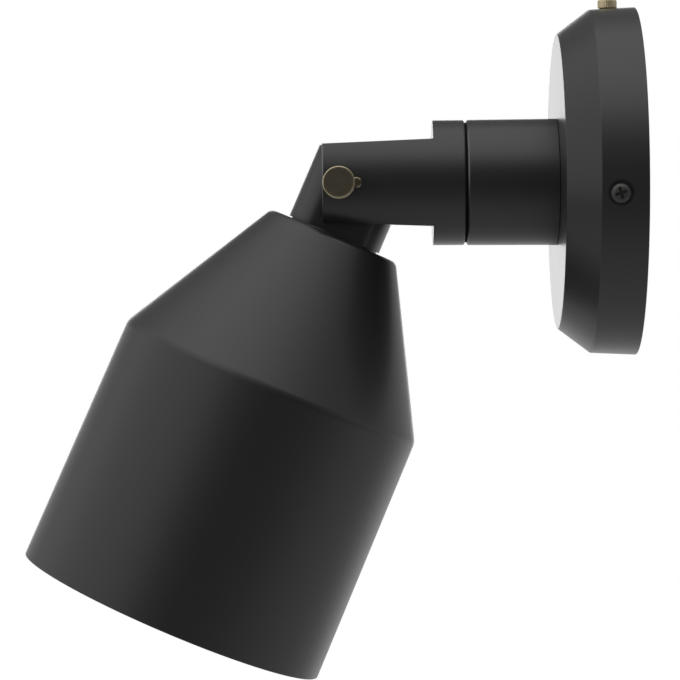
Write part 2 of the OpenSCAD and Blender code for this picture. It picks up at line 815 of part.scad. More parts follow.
module shade_lock_washer() {
    color(steel) at_pivot() translate([0, 0, shade_inside]) {
        ring(lock_washer_r, nipple_r + thread_play, lock_washer_t);
        for (i = [0:tooth_count - 1]) rotate(i * 360 / tooth_count)
            translate([lock_washer_r - tooth_reach / 2, -tooth_reach / 2, 0])
                cube([tooth_reach * 1.5, tooth_reach, lock_washer_t]);
    }
}

module shade_nut() {
    color(zinc) at_pivot() translate([0, 0, shade_inside + lock_washer_t]) difference() {
        hexagon(shade_nut_flats, shade_nut_h);
        translate([0, 0, -over]) cylinder(r = nipple_r + thread_play, h = shade_nut_h + 2 * over);
    }
}

module holder_strap() {
    length = 2 * (holder_r - strap_end_gap);
    color(zinc) at_pivot() translate([0, 0, holder_back - strap_t]) difference() {
        translate([-length / 2, -strap_width / 2, 0]) cube([length, strap_width, strap_t]);
        translate([0, 0, -over]) cylinder(r = nipple_r + thread_play, h = strap_t + 2 * over);
        both_sides() translate([holder_screw_x, 0, -over])
            cylinder(r = holder_screw_r + thread_play, h = strap_t + 2 * over);
    }
}

module holder_screws() {
    color(zinc) at_pivot() both_sides() translate([holder_screw_x, 0, holder_back - strap_t]) {
        translate([0, 0, -holder_head_h]) difference() {
            cylinder(r = holder_head_r, h = holder_head_h);
            translate([-holder_head_r - over, -cross_width / 2, -over])
                cube([2 * holder_head_r + 2 * over, cross_width, over + cross_depth / 2]);
        }
        cylinder(r = holder_screw_r, h = strap_t + holder_screw_depth - face_play);
    }
}

// Porcelain body: a wiring chamber behind, a floor, and the well for the screw shell in front.
module holder_body() {
    front_r = holder_r - holder_lip_d_drop / 2;
    body_line = [[0, holder_back], [holder_r, holder_back], [holder_r, holder_back + holder_step],
        [front_r, holder_back + holder_step + holder_lip_d_drop / 2], [front_r, holder_front],
        [0, holder_front]];
    color(porcelain_white) at_pivot() difference() {
        rotate_extrude() polygon(rounded(body_line, [0, holder_edge_r, 0, 0, holder_edge_r, 0]));
        translate([0, 0, holder_back - over]) cylinder(r = chamber_r, h = chamber_depth + over);
        translate([0, 0, shell_back])
            cylinder(r = shell_r + shell_t + thread_height + face_play, h = holder_length);
        both_sides() translate([holder_screw_x, 0, holder_back - over])
            cylinder(r = holder_screw_r + thread_play, h = holder_screw_depth + over);
    }
}

module holder_terminals() {
    color(aged_brass) at_pivot() both_sides()
        translate([terminal_x, 0, holder_back + chamber_depth - terminal_h])
            cylinder(r = terminal_r, h = terminal_h);
}

// Radius of the rolled thread at a height, as rings one pitch apart.
function thread_r(base_r, height) = base_r + thread_height * (1 - cos(360 * height / thread_pitch)) / 2;
function thread_line(base_r, start, end) =
    let (steps = ceil((end - start) / thread_pitch * 8))
    [for (i = [0:steps]) let (height = (end - start) * i / steps)
        [thread_r(base_r, height), start + height]];

module holder_shell() {
    start = shell_back + shell_inset;
    end = holder_front - shell_inset;
    color(steel) at_pivot() rotate_extrude() polygon(concat(
        thread_line(shell_r, start, end), reversed(thread_line(shell_r + shell_t, start, end)),
        [[shell_r + shell_t, shell_back], [chamber_r, shell_back],
            [chamber_r, shell_back + shell_t], [shell_r, shell_back + shell_t]]));
}

// Leaf spring that presses on the bulb's tip.
module holder_contact() {
    color(aged_brass) at_pivot() translate([0, 0, shell_back]) {
        cylinder(r = contact_r / 2, h = contact_lift - contact_t + face_play);
        translate([0, 0, contact_lift - contact_t]) cylinder(r = contact_r, h = contact_t);
    }
}

module head_lead(side) {
    start = sleeve_end + lead_touch;
    at_pivot() lead([[side * lead_pair_x, 0, start],
        [side * lead_pair_x, 0, nipple_end],
        [side * terminal_x, 0, terminal_top - lead_r]], lead_r);
}

module live_lead_head() color(lead_black) head_lead(1);

module neutral_lead_head() color(lead_white) head_lead(-1);

// The bulb, which screws into the lampholder

module bulb_cap() {
    color(steel) at_pivot() rotate_extrude() polygon(concat(
        [[cap_base_r, cap_back]], thread_line(cap_root_r, cap_back, cap_front),
        [[cap_inner_r, cap_front], [cap_inner_r, cap_back + cap_t], [cap_base_r, cap_back + cap_t]]));
}

module bulb_contact() {
    color(lead_black) at_pivot() rotate_extrude() polygon([
        [0, bulb_tip], [cap_tip_r / 2, bulb_tip], [cap_tip_r, bulb_tip + cap_tip_h],
        [cap_base_r - face_play, cap_back - cap_t], [cap_base_r - face_play, cap_back + cap_t],
        [0, cap_back + cap_t]]);
}

module bulb_glass() {
    throat = cap_front + (bulb_face - cap_front) * bulb_throat_share / 2;
    wide = bulb_face - bulb_dome;
    in_cap_r = cap_inner_r - face_play;
    glass_line = [[0, cap_front - cap_length / 2], [in_cap_r, cap_front - cap_length / 2],
        [in_cap_r, cap_front + face_play],
        [bulb_neck_r, cap_front + cap_t],
        [bulb_neck_r, throat],
        [bulb_r, wide - bulb_dome / 2], [bulb_r, wide],
        [bulb_r * lens_turn_share, bulb_face - bulb_dome * lens_rise_share],
        [0, bulb_face]];
    color(glass_white) at_pivot() rotate_extrude($fn = 144) polygon(rounded(glass_line,
        [0, 0, 0, 0, bulb_edge_round * 2, bulb_edge_round, bulb_dome / 4, bulb_edge_round * 3, 0]));
}

canopy();
mounting_bracket();
side_screws();
canopy_thumbscrew();
ground_screw();
terminal_block();
terminal_screws();
ground_lug();
ground_lead();
live_lead_wall();
neutral_lead_wall();
arm_tube();
arm_screws();
swivel_bushing();
swivel_washer();
yoke();
swivel_stem();
swivel_spring();
swivel_nut();
stop_pin();
pivot_pins();
pivot_washers();
lead_sleeve();
tilt_thumbscrew();
neck();
neck_nipple();
neck_washer();
shade();
shade_lock_washer();
shade_nut();
holder_strap();
holder_screws();
holder_body();
holder_terminals();
holder_shell();
holder_contact();
live_lead_head();
neutral_lead_head();
bulb_cap();
bulb_contact();
bulb_glass();
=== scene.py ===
import json
from math import atan2, cos, hypot, pi, radians, sqrt, tan

import bpy
from mathutils import Matrix, Vector


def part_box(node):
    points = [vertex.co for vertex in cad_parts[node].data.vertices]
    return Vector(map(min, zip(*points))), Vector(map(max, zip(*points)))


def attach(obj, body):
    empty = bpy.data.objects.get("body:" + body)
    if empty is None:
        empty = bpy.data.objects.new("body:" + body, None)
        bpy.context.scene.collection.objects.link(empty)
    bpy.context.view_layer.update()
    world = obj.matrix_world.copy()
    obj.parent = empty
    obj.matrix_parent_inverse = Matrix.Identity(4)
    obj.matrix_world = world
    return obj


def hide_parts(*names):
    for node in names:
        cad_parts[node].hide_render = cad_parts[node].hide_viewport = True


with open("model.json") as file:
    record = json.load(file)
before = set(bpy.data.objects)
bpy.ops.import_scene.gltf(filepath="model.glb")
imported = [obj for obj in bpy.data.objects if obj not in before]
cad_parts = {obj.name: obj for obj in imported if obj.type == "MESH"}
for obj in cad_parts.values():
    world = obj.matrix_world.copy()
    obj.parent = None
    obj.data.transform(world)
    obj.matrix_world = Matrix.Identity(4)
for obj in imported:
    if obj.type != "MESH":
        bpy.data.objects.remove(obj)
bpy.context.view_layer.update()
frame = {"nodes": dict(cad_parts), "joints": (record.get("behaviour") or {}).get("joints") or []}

# The camera. It stands at the height of the shade's top, 1.27 m off to the side of the light,
# and looks along the pivot's axis, as the photograph was taken.
eye = Vector((1.274, -0.1123, -0.0206))
aim = Vector((0.0, -0.1082, -0.0573))
upright = Vector((0.0, 0.0077, 1.0))
forward = (aim - eye).normalized()
rightward = forward.cross(upright).normalized()
camera = bpy.data.objects.new("camera", bpy.data.cameras.new("camera"))
bpy.context.scene.collection.objects.link(camera)
camera.matrix_world = Matrix.Translation(eye) @ Matrix(
    (rightward, rightward.cross(forward), -forward)).transposed().to_4x4()
camera.data.sensor_width = 36.0
camera.data.lens = 184.1
camera.data.clip_start, camera.data.clip_end = 0.05, 20.0
bpy.context.scene.camera = camera


# The canopy: a cast cover, 127 mm across, that hides the wall box. Its rim is drafted, a wide
# chamfer leads to the flat front, and the wire hole is in the middle of the front. It is coated
# with satin black powder, inside and out.
MM = 0.001
# How close a corner has to be to a place to be picked there
TOUCH = 0.002 * MM
# How many sides a small turned piece has, a large one, and one that is seen large
FINE, FULL, FINEST = 96, 192, 256
# Pieces are turned about z on the bench, and then tipped to face the room or the pivot's axis
FROM_WALL = Matrix.Rotation(radians(90), 4, "X")
ALONG_X = Matrix.Rotation(radians(90), 4, "Y")

canopy_r, canopy_draft, canopy_rim, canopy_out = 63.5, 0.8, 16.7, 28.5
canopy_front_r, wire_hole_r, canopy_wall = 53.8, 8.0, 2.2
side_screw_out, side_screw_drop = 10.1, 5.1
side_head_r, side_seat_play, side_seat_deep = 3.5, 0.85, 0.9
thumb_out = 9.6
clearance_r = 2.3
arm_r, arm_wall, boss_r, boss_overlap = 22.9, 2.6, 3.9, 1.3
boss_place_r = arm_r - arm_wall - boss_r + boss_overlap
boss_turns = (90, 210, 330)


def clear_bench():
    """Leaves edit mode and deselects everything."""
    if bpy.context.object and bpy.context.object.mode != "OBJECT":
        bpy.ops.object.mode_set(mode="OBJECT")
    bpy.ops.object.select_all(action="DESELECT")


def alone(piece):
    """Selects one piece and nothing else."""
    clear_bench()
    bpy.context.view_layer.objects.active = piece
    piece.select_set(True)


def pick(piece, wanted):
    """Opens a piece for editing, with only the corners selected that are wanted."""
    alone(piece)
    for parts in (piece.data.polygons, piece.data.edges, piece.data.vertices):
        parts.foreach_set("select", [False] * len(parts))
    for corner in piece.data.vertices:
        corner.select = wanted(corner.co)
    bpy.ops.object.mode_set(mode="EDIT")
    bpy.ops.mesh.select_mode(type="VERT")


def shape(piece, wanted, tool, **settings):
    """Works the wanted corners of a piece with one of the tools for meshes."""
    pick(piece, wanted)
    tool(**settings)
    bpy.ops.object.mode_set(mode="OBJECT")


def close_up(piece):
    """Merges corners that touch and turns the faces outwards."""
    pick(piece, lambda place: True)
    bpy.ops.mesh.remove_doubles(threshold=TOUCH / 2)
    bpy.ops.mesh.select_all(action="SELECT")
    bpy.ops.mesh.normals_make_consistent(inside=False)
    bpy.ops.object.mode_set(mode="OBJECT")


def on_ring(radius, height):
    """The corners of a turned piece that lie on one ring, given in millimetres."""
    return lambda place: (abs(hypot(place.x, place.y) - radius * MM) < TOUCH
                          and abs(place.z - height * MM) < TOUCH)


def turned(name, outline, sides=FULL, joined=False):
    """Turns a piece about z, ring by ring, from an outline of (radius, height) in millimetres.

    A third number rounds that corner. A face closes each end, unless the outline comes back to
    its start and is joined there.
    """
    clear_bench()
    radius, height = outline[0][:2]
    bpy.ops.mesh.primitive_circle_add(vertices=sides, radius=radius * MM,
                                      location=(0, 0, height * MM), fill_type="NOTHING")
    piece = bpy.context.object
    piece.name = piece.data.name = name
    bpy.ops.object.transform_apply(location=True, rotation=True, scale=True)
    bpy.ops.object.mode_set(mode="EDIT")
    if not joined:
        bpy.ops.mesh.select_all(action="SELECT")
        bpy.ops.mesh.edge_face_add()
        bpy.ops.mesh.select_all(action="SELECT")
        bpy.ops.mesh.select_mode(type="EDGE")
    for next_radius, next_height, *_ in outline[1:]:
        bpy.ops.mesh.extrude_edges_move(
            TRANSFORM_OT_translate={"value": (0, 0, (next_height - height) * MM)})
        share = next_radius / radius
        bpy.ops.transform.resize(value=(share, share, 1),
                                 center_override=(0, 0, next_height * MM))
        radius, height = next_radius, next_height
    if not joined:
        bpy.ops.mesh.edge_face_add()
    bpy.ops.mesh.select_mode(type="VERT")
    close_up(piece)
    for before, here, after in zip(outline, outline[1:], outline[2:]):
        if len(here) == 3:
            come = atan2(here[1] - before[1], here[0] - before[0])
            go = atan2(after[1] - here[1], after[0] - here[0])
            turn = abs((go - come + pi) % (2 * pi) - pi)
            shape(piece, on_ring(*here[:2]), bpy.ops.mesh.bevel,
                  offset=here[2] * tan(turn / 2) * MM, offset_type="OFFSET",
                  segments=8 if here[2] > 2 else 4, affect="EDGES")
    return piece


def inner_line(line, thickness):
    """The inside of a wall whose outside is the line; its ends stay level with the line's."""
    moved = []
    for i, (radius, height) in enumerate(line):
        here = Vector((radius, height))
        sides = []
        for other, way in ((i - 1, 1), (i + 1, -1)):
            if 0 <= other < len(line):
                along = way * (here - Vector(line[other])).normalized()
                sides.append((here + thickness * Vector((-along.y, along.x)), along))
        if len(sides) == 1:
            beside = line[1 if i == 0 else i - 1]
            sides.append((here, Vector((0, 1) if beside[1] == height else (1, 0))))
        (p, u), (q, v) = sides
        moved.append(tuple(p + u * (q - p).cross(v) / u.cross(v)))
    return moved


def with_rounds(line, rounds):
    """An outline's points with the round of each corner, where it has one."""
    return [(*point, round_r) if round_r else point for point, round_r in zip(line, rounds)]


def at(x, y, z):
    """A move in millimetres."""
    return Matrix.Translation([c * MM for c in (x, y, z)])


def spun(degrees):
    """A turn about z."""
    return Matrix.Rotation(radians(degrees), 4, "Z")


def mount(piece, place):
    """Moves a piece from the bench to its place and leaves its object at the origin."""
    alone(piece)
    piece.matrix_world = place @ piece.matrix_world
    bpy.ops.object.transform_apply(location=True, rotation=True, scale=True)


def modified(piece, kind, **settings):
    """Adds a modifier, sets it and applies it."""
    alone(piece)
    bpy.ops.object.modifier_add(type=kind)
    modifier = piece.modifiers[-1]
    for name, value in settings.items():
        setattr(modifier, name, value)
    bpy.ops.object.modifier_apply(modifier=modifier.name)


def cut(piece, cutter, how="DIFFERENCE"):
    """Cuts one shape out of a piece, or adds it, and throws the shape away."""
    modified(piece, "BOOLEAN", operation=how, object=cutter, solver="EXACT")
    bpy.data.objects.remove(cutter)


def polished(piece, angle=30):
    """Closes a piece up and smooths all but its sharp edges."""
    close_up(piece)
    bpy.ops.object.shade_smooth_by_angle(angle=radians(angle))
    modified(piece, "WEIGHTED_NORMAL", keep_sharp=True)


canopy_line = [(canopy_r, 0.0), (canopy_r - canopy_draft, canopy_rim),
               (canopy_front_r, canopy_out), (wire_hole_r, canopy_out)]
# The outline starts in the middle of the foot, so that both corners of the foot are rounded
canopy_foot = (canopy_r - canopy_wall / 2, 0.0)
canopy = turned("canopy_cover",
                [canopy_foot] + with_rounds(canopy_line, (0.35, 0.9, 0.9, 0.3))
                + with_rounds(inner_line(canopy_line, canopy_wall)[::-1],
                              [0.4] * len(canopy_line))
                + [canopy_foot], FINEST, joined=True)

side_surface = sqrt((canopy_r - canopy_draft * side_screw_out / canopy_rim) ** 2
                    - side_screw_drop ** 2)
side_seat = side_surface - side_seat_deep
side_seat_r = side_head_r + side_seat_play
for turn in (0, 180):
    # The hole of a side screw, the seat for its head, and the seat's broken edge
    side_hole = turned("side_seat_tool", [
        (clearance_r, side_seat - 6), (clearance_r, side_seat), (side_seat_r, side_seat),
        (side_seat_r, side_surface - 0.25), (side_seat_r + 1.0, side_surface + 0.75)], FINE)
    mount(side_hole, at(0, -side_screw_drop, side_screw_out) @ spun(turn) @ ALONG_X)
    cut(canopy, side_hole)
thumb_hole = turned("thumb_hole_tool", [(clearance_r, 55.0), (clearance_r, 70.0)], FINE)
mount(thumb_hole, at(0, 0, thumb_out) @ Matrix.Rotation(radians(-90), 4, "X"))
cut(canopy, thumb_hole)
for turn in boss_turns:
    arm_hole = turned("arm_screw_hole_tool", [(clearance_r, 20.0), (clearance_r, 30.0)], FINE)
    mount(arm_hole, spun(turn) @ at(boss_place_r, 0, 0))
    cut(canopy, arm_hole)
mount(canopy, FROM_WALL)
polished(canopy)


class Wire:
    """The output of one node in a recipe. Sums with it add Math nodes."""

    def __init__(self, recipe, socket):
        self.recipe, self.socket = recipe, socket

    def maths(self, operation, first, second):
        return self.recipe.node("Math", {0: first, 1: second}, {"operation": operation})

    def __add__(self, other):
        return self.maths("ADD", self, other)

    def __sub__(self, other):
        return self.maths("SUBTRACT", self, other)

    def __mul__(self, other):
        return self.maths("MULTIPLY", self, other)

    def __rsub__(self, other):
        return self.maths("SUBTRACT", other, self)

    __radd__, __rmul__ = __add__, __mul__


class Recipe:
    """A finish in the making: a material, or the world, and the nodes that are added to it."""

    def __init__(self, name, owner=None):
        self.material = owner or bpy.data.materials.new(name)
        self.material.use_nodes = True
        self.tree = self.material.node_tree
        self.tree.nodes.clear()

    def node(self, kind, inputs=None, settings=None, output=0):
        """Adds a node: its settings first, then the values and links of its sockets."""
        made = self.tree.nodes.new("ShaderNode" + kind)
        for name, value in (settings or {}).items():
            setattr(made, name, value)
        for name, value in (inputs or {}).items():
            if isinstance(value, Wire):
                self.tree.links.new(value.socket, made.inputs[name])
            else:
                made.inputs[name].default_value = value
        return Wire(self, made.outputs[output]) if made.outputs else None

    def place(self, centre=(0, 0, 0)):
        """Object coordinates, in metres, counted from a centre."""
        here = self.node("TexCoord", output="Object")
        return self.node("Mapping", {"Vector": here, "Location": [-c for c in centre]})

    def part(self, vector, axis):
        """One of the three numbers of a vector."""
        return self.node("SeparateXYZ", {0: vector}, output=axis)

    def length(self, vector, across):
        """How long a vector is, counted only across the axes that are given as 1."""
        kept = self.node("VectorMath", {0: vector, 1: across}, {"operation": "MULTIPLY"})
        return self.node("VectorMath", {0: kept}, {"operation": "LENGTH"}, output="Value")

    def dot(self, vector, direction):
        """How far a vector goes in a direction."""
        return self.node("VectorMath", {0: vector, 1: direction}, {"operation": "DOT_PRODUCT"},
                         output="Value")

    def noise(self, size, detail):
        """Soft noise, 0 to 1, whose patches are about as wide as size, in millimetres."""
        return self.node("TexNoise", {"Vector": self.place(), "Scale": 1 / (size * MM),
                                      "Detail": detail})

    def between(self, low, high, value):
        """A mask of 0 to 1 that rises as a value goes from low to high."""
        return self.node("MapRange", {0: value, 1: low, 2: high},
                         {"interpolation_type": "SMOOTHSTEP"})

    def blend(self, mask, first, second):
        """One colour where the mask is 0 and another where it is 1."""
        first, second = [c if isinstance(c, Wire) else (*c, 1.0) for c in (first, second)]
        return self.node("Mix", {0: mask, 6: first, 7: second}, {"data_type": "RGBA"}, output=2)

    def surface(self, inputs, bump, depth, strength):
        """Ends the recipe in the surface shader, with a bump of a depth in millimetres."""
        inputs["Normal"] = self.node("Bump", {"Height": bump, "Distance": depth * MM,
                                              "Strength": strength})
        self.node("OutputMaterial", {"Surface": self.node("BsdfPrincipled", inputs)})
        return self.material


def finish(piece, material):
    """Gives a piece, or a carried-over CAD node, one material all over."""
    piece.data.materials.clear()
    piece.data.materials.append(material)


def satin_powder(name, edge=None):
    """Satin black powder, with a painted highlight along an outer edge of the round bar.

    The painted highlight's edge is given by how far from the wall it starts and is full, in
    millimetres.
    """
    recipe = Recipe(name)
    drift = recipe.noise(45.0, 3.0)
    peel = recipe.noise(0.9, 3.0)
    colour = recipe.blend(drift, (0.0100, 0.0100, 0.0104), (0.0132, 0.0131, 0.0134))
    if edge:
        # The painted highlight lies only near the outside of the bar, and on the upper half of the
        # side that shows
        here = recipe.place()
        height = recipe.part(here, "Z")
        painted_highlight = recipe.between(22.1 * MM, 22.4 * MM, recipe.length(here, (1, 0, 1)))
        painted_highlight = painted_highlight * recipe.between(edge[0] * MM, edge[1] * MM, 0 - recipe.part(here, "Y"))
        painted_highlight = painted_highlight * recipe.between(-9 * MM, 7 * MM, height)
        painted_highlight = painted_highlight * (1 - recipe.between(15 * MM, 22 * MM, height))
        colour = recipe.blend(painted_highlight, colour, (0.085, 0.085, 0.088))
    return recipe.surface(
        {"Base Color": colour, "Roughness": 0.40 + 0.05 * drift + 0.05 * peel,
         "Specular IOR Level": 0.25, "Coat Weight": 0.7, "Coat Roughness": 0.28},
        bump=peel, depth=0.035, strength=0.35)


satin_black = satin_powder("satin_black_powder")
finish(canopy, satin_black)
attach(canopy, "wall_mount")
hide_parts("canopy")


# The side screws: two blackened steel pan-head screws with a cross recess. Each goes through the
# canopy's rim into a tab of the bracket, and its head sits in a shallow round seat.
def block(name, size, centre, taper=1.0):
    """A box of a size about a centre, in millimetres; taper scales its lower face."""
    clear_bench()
    bpy.ops.mesh.primitive_cube_add(size=1.0, location=[c * MM for c in centre])
    piece = bpy.context.object
    piece.name = piece.data.name = name
    piece.scale = [s * MM for s in size]
    bpy.ops.object.transform_apply(location=True, rotation=True, scale=True)
    if taper != 1.0:
        shape(piece, lambda place: place.z < centre[2] * MM, bpy.ops.transform.resize,
              value=(taper, taper, 1), center_override=(centre[0] * MM, centre[1] * MM, 0))
    return piece


def eased(piece, width, segments, angle):
    """Rounds every edge of a piece that is sharper than an angle, by a width in millimetres."""
    modified(piece, "BEVEL", width=width * MM, segments=segments, limit_method="ANGLE",
             angle_limit=radians(angle), use_clamp_overlap=True)


def twin(piece, name, angle=30):
    """The same piece on the other side of the light, mirrored, with its own mesh."""
    alone(piece)
    bpy.ops.object.duplicate()
    other = bpy.context.object
    other.name = other.data.name = name
    bpy.ops.transform.mirror(constraint_axis=(True, False, False))
    mount(other, Matrix.Identity(4))
    polished(other, angle)
    return other


side_screw = turned("side_screw_right", [
    (2.0, -5.0), (2.0, 0.0), (side_head_r, 0.0, 0.15), (side_head_r, 0.9, 0.9),
    (2.7, 1.75, 2.0), (0.9, 2.0)], FINE)
for turn in (17, 107):
    cross_arm = block("cross_tool", (5.4, 1.3, 2.0), (0, 0, 1.7), 0.6)
    mount(cross_arm, spun(turn))
    cut(side_screw, cross_arm)
eased(side_screw, 0.08, 2, 40)
mount(side_screw, FROM_WALL @ at(side_seat, -side_screw_drop, side_screw_out) @ ALONG_X)
polished(side_screw)
recipe = Recipe("blackened_steel")
rubbed = recipe.noise(1.5, 4.0)
black_steel = recipe.surface(
    {"Base Color": recipe.blend(rubbed, (0.03, 0.03, 0.031), (0.08, 0.078, 0.074)),
     "Metallic": 0.35 + 0.3 * rubbed, "Roughness": 0.28 + 0.2 * rubbed},
    bump=rubbed, depth=0.02, strength=0.5)
for screw in (side_screw, twin(side_screw, "side_screw_left")):
    finish(screw, black_steel)
    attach(screw, "wall_mount")
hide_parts("side_screws")


# The canopy thumbscrew: a small knurled brass screw on top of the canopy. It goes through the rim
# into the bracket's upper tab, so that the canopy comes off the wall without a tool.
def knurled(name, radius, outline, teeth, depth):
    """A turned piece whose rings at a radius are knurled, with every other corner drawn in."""
    piece = turned(name, outline, 2 * teeth)
    share = 1 - depth / radius
    shape(piece, lambda place: abs(hypot(place.x, place.y) - radius * MM) < TOUCH
          and round(atan2(place.y, place.x) * teeth / pi) % 2 == 1,
          bpy.ops.transform.resize, value=(share, share, 1), center_override=(0, 0, 0))
    return piece


def antique_brass(name, centre, across, worn_from, worn_to,
                  dull=((0.105, 0.09, 0.062), (0.16, 0.14, 0.10)), rough=0.42):
    """Dark old brass that is worn bright where it is far from an axis, in millimetres."""
    recipe = Recipe(name)
    reach = recipe.length(recipe.place(centre), across)
    patches = recipe.noise(1.2, 4.0)
    rim = recipe.between(worn_from * MM, worn_to * MM, reach + 0.3 * MM * (patches - 0.5))
    worn = rim * (0.55 + 0.45 * patches)
    return recipe.surface(
        {"Base Color": recipe.blend(worn, recipe.blend(patches, *dull), (0.76, 0.66, 0.44)),
         "Metallic": 0.85 + 0.15 * worn, "Roughness": rough - 0.16 * worn},
        bump=recipe.noise(0.25, 2.0), depth=0.01, strength=0.4)


thumb_r, thumb_top, thumb_edge_r = 3.5, 3.05, 3.38
thumb_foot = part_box("canopy_thumbscrew")[1].z / MM - thumb_top
thumbscrew = knurled("canopy_thumbscrew_brass", thumb_r, [
    (1.5, -8.6), (2.0, -8.1), (2.0, 0.0), (2.9, 0.0), (3.2, 0.05), (thumb_edge_r, 0.12),
    (thumb_r, 0.25), (thumb_r, thumb_top - 0.45), (thumb_edge_r, thumb_top - 0.2),
    (3.1, thumb_top, 0.2), (2.0, thumb_top), (1.8, thumb_top - 0.3), (0.4, thumb_top - 0.3)],
    28, 0.12)
mount(thumbscrew, at(0, -thumb_out, thumb_foot))
polished(thumbscrew, 25)
finish(thumbscrew, antique_brass(
    "antique_brass_canopy", centre=(0, -thumb_out * MM, 0), across=(1, 1, 0), worn_from=2.6,
    worn_to=3.6, dull=((0.30, 0.22, 0.10), (0.46, 0.35, 0.17)), rough=0.60))
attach(thumbscrew, "canopy_thumbscrew")
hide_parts("canopy_thumbscrew")


# The arm: a short cast tube, bolted to the canopy's front from inside. It ends in a web with a
# bush, and a fine seam divides it from the yoke that turns on it.
arm_back, arm_front, arm_web, arm_draft = canopy_out, 61.7, 5.0, 0.2
arm_bore, bushing_r = arm_r - arm_wall, 8.63
arm = turned("arm", [
    (arm_bore, arm_back), (arm_r + arm_draft, arm_back, 0.3), (arm_r, arm_front, 0.9),
    (bushing_r, arm_front), (bushing_r, arm_front - arm_web), (arm_bore, arm_front - arm_web, 1.5),
    (arm_bore, arm_back)], joined=True)
boss_back, boss_front, boss_thread_r = arm_back + 0.05, arm_back + 11.0, 2.06
for turn in boss_turns:
    boss = turned("arm_boss", [
        (boss_r, boss_back), (boss_r, boss_front, 0.5), (boss_thread_r, boss_front),
        (boss_thread_r, boss_back), (boss_r, boss_back)], FINE, joined=True)
    mount(boss, spun(turn) @ at(boss_place_r, 0, 0))
    cut(arm, boss, "UNION")
mount(arm, FROM_WALL)
polished(arm)
finish(arm, satin_powder("satin_black_arm", (arm_front - 0.75, arm_front - 0.4)))
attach(arm, "wall_mount")
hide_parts("arm_tube")


# The yoke: a collar with two ears, milled from one round cast bar. It turns on the arm, and the
# head swings between its ears. A low ring on its back stands in the seam, near black with little
# sheen as painted shade.
def joint(name):
    """What the frame says of one joint."""
    return [row for row in frame["joints"] if row["name"] == name][0]


pivot = Vector(joint("tilt")["pos_m"])
pivot_out = -pivot.y / MM
yoke_r, yoke_back, collar_front, ear_tip = 22.85, 62.3, 74.0, pivot_out + 12.4
stem_r, swivel_hole_r, swivel_floor = 4.6, 7.06, yoke_back + 8.0
yoke = turned("yoke_casting", [
    (swivel_hole_r, yoke_back), (yoke_r, yoke_back, 0.85), (yoke_r, collar_front, 0.45),
    (stem_r, collar_front), (stem_r, swivel_floor), (swivel_hole_r, swivel_floor),
    (swivel_hole_r, yoke_back)], FINEST, joined=True)

# The ears are a round bar that is slotted for the neck and cut down from above and below
ear_start, ear_skin, ear_bore = yoke_back + 3.0, yoke_r - 0.01, stem_r + 0.1
ears = turned("ears_tool", [
    (ear_bore, ear_start), (ear_skin, ear_start), (ear_skin, ear_tip, 0.55),
    (ear_bore, ear_tip), (ear_bore, ear_start)], FINEST, joined=True)
neck_across, ear_play = 28.4, 0.5
beyond = 60.0
cut(ears, block("slot_tool", (neck_across + 2 * ear_play, beyond, beyond),
                (0, 0, collar_front + beyond / 2)))
ear_root_half, ear_tip_half = 15.75, 14.2
fall = (ear_root_half - ear_tip_half) / (ear_tip - collar_front)
spare, wedge_in, wedge_middle = 5.0, 10.0, 20.0
for side in (1, -1):
    wedge = block("ear_wedge_tool", (beyond, 20.0, ear_tip - ear_start + 2 * spare),
                  (0, side * wedge_middle, (ear_tip + ear_start) / 2))
    for level in (ear_start - spare, ear_tip + spare):
        edge = ear_root_half - fall * (level - collar_front)
        shape(wedge, lambda place: abs(place.z - level * MM) < TOUCH
              and abs(place.y) < wedge_middle * MM,
              bpy.ops.transform.translate, value=(0, side * (edge - wedge_in) * MM, 0))
    cut(ears, wedge)
cut(yoke, ears, "UNION")
# The pivot's hole goes through both ears, and the hole of the lock screw through one
lock_out = pivot_out + 6.4
for out, radius, start in ((pivot_out, 1.91, -30.0), (lock_out, 2.07, 0.0)):
    drill = turned("ear_drill_tool", [(radius, start), (radius, 30.0)], FINE)
    mount(drill, at(0, 0, out) @ ALONG_X)
    cut(yoke, drill)
eased(yoke, 0.25, 2, 50)
mount(yoke, FROM_WALL)
polished(yoke)
finish(yoke, satin_powder("satin_black_yoke", (ear_tip - 0.6, ear_tip - 0.3)))
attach(yoke, "yoke")
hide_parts("yoke")

ring_r, ring_wide = yoke_r - 0.95, 2.4
ring_foot, ring_face = yoke_back + 0.05, yoke_back - 0.45
seam_ring = turned("swivel_seam_ring", [
    (ring_r - ring_wide, ring_foot), (ring_r - ring_wide, ring_face), (ring_r, ring_face),
    (ring_r, ring_foot), (ring_r - ring_wide, ring_foot)], FINEST, joined=True)
mount(seam_ring, FROM_WALL)
polished(seam_ring)
# Near black with a weak sheen: painted shade that darkens the seam between arm and yoke
recipe = Recipe("painted_seam_shade")
wear = recipe.noise(3.0, 3.0)
finish(seam_ring, recipe.surface(
    {"Base Color": recipe.blend(wear, (0.003, 0.003, 0.003), (0.006, 0.006, 0.006)),
     "Roughness": 0.65 + 0.1 * wear, "Specular IOR Level": 0.08},
    bump=wear, depth=0.02, strength=0.3))
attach(seam_ring, "yoke")


# The pivot pins: two brass pins, pressed through the ears into the neck. Their chamfered ends
# stand a little proud of the ears.
pin_r, pin_chamfer = 1.85, 0.4
pin_end, pin_dish = yoke_r + 0.6, 0.12
pin = turned("pivot_pin_right", [
    (1.6, 5.6), (pin_r, 5.9), (pin_r, pin_end - pin_chamfer), (pin_r - 0.35, pin_end - 0.05, 0.15),
    (pin_r - 0.75, pin_end), (pin_r - 0.85, pin_end - pin_dish), (0.4, pin_end - pin_dish)], FINE)
mount(pin, FROM_WALL @ at(0, 0, pivot_out) @ ALONG_X)
polished(pin, 25)
pin_brass = antique_brass("antique_brass_pins", centre=pivot, across=(0, 1, 1),
                          worn_from=1.5, worn_to=2.0)
for piece in (pin, twin(pin, "pivot_pin_left", 25)):
    finish(piece, pin_brass)
    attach(piece, "yoke")
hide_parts("pivot_pins")


